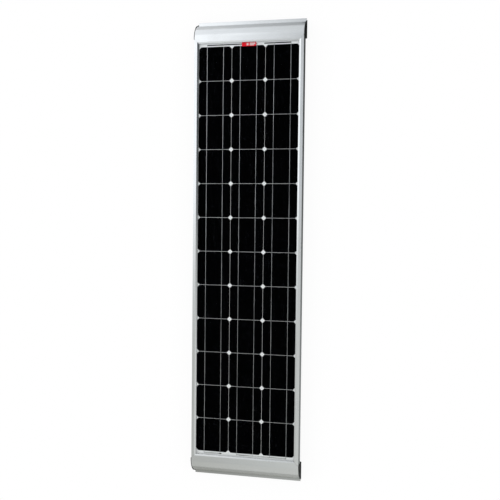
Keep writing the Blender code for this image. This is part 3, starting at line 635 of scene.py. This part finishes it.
def make_cells():
    """Single wafers in place of each packed column of cells, and the two tab ribbons that join them."""
    for side, column in COLUMNS.items():
        low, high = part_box(f"cell_string_{side}")
        middle = (low + high) / 2
        rows = [middle.y + (row - (ROWS - 1) / 2) * PITCH for row in range(ROWS)]
        top = low.z + CELL_THICKNESS

        def wafers(shape):
            for y in rows:
                prism(shape, wafer_outline(middle.x, y), low.z, top)

        cells = piece(f"cells_{side}", wafers, "cell")
        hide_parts(f"cell_string_{side}")
        luck = random.Random(TAB_SEED + column)

        def ribbons(shape):
            for x in (middle.x - TAB_OFFSET, middle.x + TAB_OFFSET):
                stations = []
                for step in range(TAB_STEPS + 1):
                    y = low.y + (high.y - low.y) * step / TAB_STEPS
                    near = min(abs(abs(y - row) - PITCH / 2) for row in rows)
                    dip = TAB_DIP * max(0.0, 1 - near / TAB_DIP_REACH)
                    half = TAB_WIDTH / 2 * (1 + TAB_WIDTH_WAVER * luck.uniform(-1, 1))
                    z = top - dip + TAB_WAVER * luck.uniform(-1, 1)
                    stations.append(ribbon_section(x, y, z, half))
                sweep(shape, stations)

        piece(f"tab_ribbons_{side}", ribbons, "ribbon")


def mound(shape, x, y, z, steps=10, rings=3):
    """A low closed bead on an oval foot, like solder that has run."""
    loops = []
    for level in range(rings):
        turn = math.pi / 2 * level / rings
        half_x, half_y = (size / 2 * math.cos(turn) for size in BEAD_SIZE)
        loops.append(oval(shape, (x, y, z + BEAD_RISE * math.sin(turn)), half_x, half_y, steps))
    shape.faces.new(loops[0][::-1])
    bridge(shape, loops)
    tip = shape.verts.new((x, y, z + BEAD_RISE))
    for i in range(steps):
        shape.faces.new((loops[-1][i], loops[-1][(i + 1) % steps], tip))


def make_solder():
    """Beads where the tab ribbons cross the buses, and the dark patch over one bus's end."""
    for bus in ("top_left", "top_right", "bottom_left", "bottom_right"):
        low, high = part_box(f"bus_ribbon_{bus}")
        y = (low.y + high.y) / 2

        def beads(shape):
            for column in COLUMNS.values():
                for offset in (-TAB_OFFSET, TAB_OFFSET):
                    x = column * PITCH + offset
                    if low.x - BEAD_REACH < x < high.x + BEAD_REACH:
                        mound(shape, x, y, high.z + LIFT)

        piece(f"solder_beads_{bus}", beads, "ribbon")
    low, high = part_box("bus_ribbon_bottom_left")

    def patch(shape):
        outline = rectangle(high.x - PATCH_INSIDE, low.y, high.x + PATCH_PAST, high.y)
        prism(shape, outline, high.z + LIFT, high.z + LIFT + PATCH_THICKNESS)

    soften(piece("bus_end_patch", patch, "ink"), PATCH_ROUND)


def make_badge_print():
    """A plain sun and bars, printed in white on the red label."""
    low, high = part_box("front_badge")
    base = high.z + LIFT
    top = base + INK
    wide = high.x - low.x
    tall = high.y - low.y
    middle_y = (low.y + high.y) / 2
    sun = Vector((low.x + SUN_PLACE * wide, middle_y))

    def point(radius, turn):
        return sun + radius * tall * Vector((math.cos(turn), math.sin(turn)))

    def marks(shape):
        prism(shape, [point(SUN_RADIUS, 2 * math.pi * i / SUN_STEPS) for i in range(SUN_STEPS)], base, top)
        for i in range(RAYS):
            turn = 2 * math.pi * i / RAYS
            start, end = (point(radius, turn) for radius in RAY_SPAN)
            side = Vector((-math.sin(turn), math.cos(turn))) * RAY_HALF_WIDTH * tall
            prism(shape, [start - side, end - side, end + side, start + side], base, top)
        left = low.x + BAR_START * wide
        for i, width in enumerate(BAR_WIDTHS):
            y = middle_y + (1 - i) * BAR_PITCH * tall
            half = BAR_HALF_HEIGHT * tall
            prism(shape, rectangle(left, y - half, left + width * wide, y + half), base, top)

    piece("badge_print", marks, "white")


def make_sticker_print():
    """An empty form of ruled lines on the silver rating label under the panel."""
    low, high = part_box("rear_sticker")
    left, right = low.x + RULE_MARGIN, high.x - RULE_MARGIN
    split = left + RULE_SPLIT * (right - left)
    step = (high.y - low.y - 2 * RULE_MARGIN) / RULE_ROWS
    half = RULE_WIDTH / 2

    def rules(shape):
        def bar(*edges):
            prism(shape, rectangle(*edges), low.z - LIFT - INK, low.z - LIFT)

        for i in range(RULE_ROWS + 1):
            y = low.y + RULE_MARGIN + i * step
            bar(left, y - half, right, y + half)
            if i < RULE_ROWS:
                for x in (left, split, right):
                    bar(x - half, y + half, x + half, y + step - half)

    piece("sticker_rules", rules, "ink")


# ---- stage ----


def add_node(tree, kind, *inputs, **settings):
    """A node with its first inputs set or linked in order; None leaves an input as it is."""
    node = tree.nodes.new(kind)
    for key, value in settings.items():
        setattr(node, key, value)
    for socket, value in zip(node.inputs, inputs):
        if isinstance(value, bpy.types.NodeSocket):
            tree.links.new(value, socket)
        elif value is not None:
            socket.default_value = value
    return node


def graded(tree, place, span, ends, near, far):
    """A colour that runs over X through the stops of near, and over Y from near to far."""
    axes = add_node(tree, "ShaderNodeSeparateXYZ", place)
    across = add_node(tree, "ShaderNodeMapRange", axes.outputs[0], *span)
    along = add_node(tree, "ShaderNodeMapRange", axes.outputs[1], *ends, interpolation_type="SMOOTHSTEP")
    ramps = []
    for stops in (near, far):
        ramp = add_node(tree, "ShaderNodeValToRGB", across.outputs[0])
        elements = ramp.color_ramp.elements
        while len(elements) < len(stops):
            elements.new(1.0)
        for element, (x, *colour) in zip(elements, stops):
            element.position = (x - span[0]) / (span[1] - span[0])
            element.color = [c / BRIGHTEST for c in colour] + [1.0]
        ramps.append(ramp.outputs[0])
    mix = add_node(tree, "ShaderNodeMix", along.outputs[0], data_type="RGBA")
    for key, value in zip((MIX_A, MIX_B), ramps):
        tree.links.new(value, mix.inputs[key])
    bright = add_node(tree, "ShaderNodeVectorMath", mix.outputs[MIX_OUT], operation="SCALE")
    bright.inputs["Scale"].default_value = BRIGHTEST
    return bright.outputs[0]


def make_world():
    """A graded sky round the soft box, which the camera sees as plain white."""
    world = bpy.data.worlds.new("studio")
    bpy.context.scene.world = world
    world.use_nodes = True
    tree = world.node_tree
    direction = add_node(tree, "ShaderNodeTexCoord").outputs["Generated"]
    sky = tree.nodes["Background"]
    tree.links.new(graded(tree, direction, SKY_SPAN, SKY_ENDS, SKY_NEAR, SKY_FAR), sky.inputs["Color"])
    backdrop = add_node(tree, "ShaderNodeBackground", (1.0, 1.0, 1.0, 1.0))
    seen = add_node(tree, "ShaderNodeLightPath").outputs["Is Camera Ray"]
    both = add_node(tree, "ShaderNodeMixShader", seen, sky.outputs[0], backdrop.outputs[0])
    tree.links.new(both.outputs[0], tree.nodes["World Output"].inputs["Surface"])


def stage_sheet(name, height, half_x, half_y):
    """A flat sheet of the studio: its object, its material's node tree and the socket for its surface."""
    shape = bmesh.new()
    bmesh.ops.create_grid(shape, x_segments=8, y_segments=8, size=1.0)
    shape.transform(Matrix.Translation((0, 0, height)) @ Matrix.Diagonal((half_x, half_y, 1, 1)))
    mesh = bpy.data.meshes.new(name)
    shape.to_mesh(mesh)
    shape.free()
    material = bpy.data.materials.new("studio_" + name)
    material.use_nodes = True
    tree = material.node_tree
    tree.nodes.remove(tree.nodes["Principled BSDF"])
    mesh.materials.append(material)
    sheet = bpy.data.objects.new(name, mesh)
    bpy.context.scene.collection.objects.link(sheet)
    sheet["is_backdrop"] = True
    return sheet, tree, tree.nodes["Material Output"].inputs["Surface"]


def make_lamp():
    """A wide soft box over the panel and a fill under it, which the camera looks through."""
    lamp, tree, surface = stage_sheet("soft_box", LAMP_HEIGHT, *LAMP_HALF)
    place = add_node(tree, "ShaderNodeTexCoord").outputs["Object"]
    colour = graded(tree, place, LAMP_SPAN, LAMP_ENDS, LAMP_NEAR, LAMP_FAR)
    tree.links.new(add_node(tree, "ShaderNodeEmission", colour).outputs[0], surface)
    lamp.visible_camera = False
    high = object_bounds()[1]
    half = (high.x - UNDER_INSET[0], high.y - UNDER_INSET[1])
    under, tree, surface = stage_sheet("under_light", UNDER_HEIGHT, *half)
    tree.links.new(add_node(tree, "ShaderNodeEmission", UNDER_COLOUR, UNDER_LIGHT).outputs[0], surface)
    under.visible_camera = False


def make_floor():
    """A pale floor just under the panel, with a faint shadow where the panel meets it.

    Seen from below it is clear, so that the underside can be looked at."""
    tree, surface = stage_sheet("floor", FLOOR_HEIGHT, FLOOR_HALF, FLOOR_HALF)[1:]
    place = add_node(tree, "ShaderNodeTexCoord").outputs["Object"]
    # Painted shade: the lit colour is graded darker to the right of the panel, in place of its shadow.
    colour = graded(tree, place, FLOOR_SPAN, FLOOR_ENDS, FLOOR_NEAR, FLOOR_FAR)
    lit = add_node(tree, "ShaderNodeBsdfDiffuse", colour)
    near = add_node(tree, "ShaderNodeAmbientOcclusion", None, CONTACT_REACH, samples=8)
    shown = add_node(tree, "ShaderNodeMapRange", near.outputs["AO"], *CONTACT_OPEN, *CONTACT_SHADE)
    glow = add_node(tree, "ShaderNodeEmission", None, shown.outputs[0])
    seen = add_node(tree, "ShaderNodeLightPath").outputs["Is Camera Ray"]
    above = add_node(tree, "ShaderNodeMixShader", seen, lit.outputs[0], glow.outputs[0])
    under = add_node(tree, "ShaderNodeNewGeometry").outputs["Backfacing"]
    clear = add_node(tree, "ShaderNodeBsdfTransparent")
    both = add_node(tree, "ShaderNodeMixShader", under, above.outputs[0], clear.outputs[0])
    tree.links.new(both.outputs[0], surface)


def make_camera():
    """The camera, and plain colours with enough transparent bounces for the glass and films."""
    data = bpy.data.cameras.new("camera")
    data.sensor_width = 36.0
    data.lens = CAMERA_LENS
    data.clip_start = 0.05
    data.clip_end = 50.0
    camera = bpy.data.objects.new("camera", data)
    camera.location = CAMERA_PLACE
    camera.rotation_euler = [math.radians(angle) for angle in CAMERA_TURN]
    bpy.context.scene.collection.objects.link(camera)
    bpy.context.scene.camera = camera
    bpy.context.scene.view_settings.view_transform = "Standard"
    bpy.context.scene.cycles.transparent_max_bounces = 32


finish_packed()
make_cells()
make_solder()
make_badge_print()
make_sticker_print()
make_world()
make_lamp()
make_floor()
make_camera()
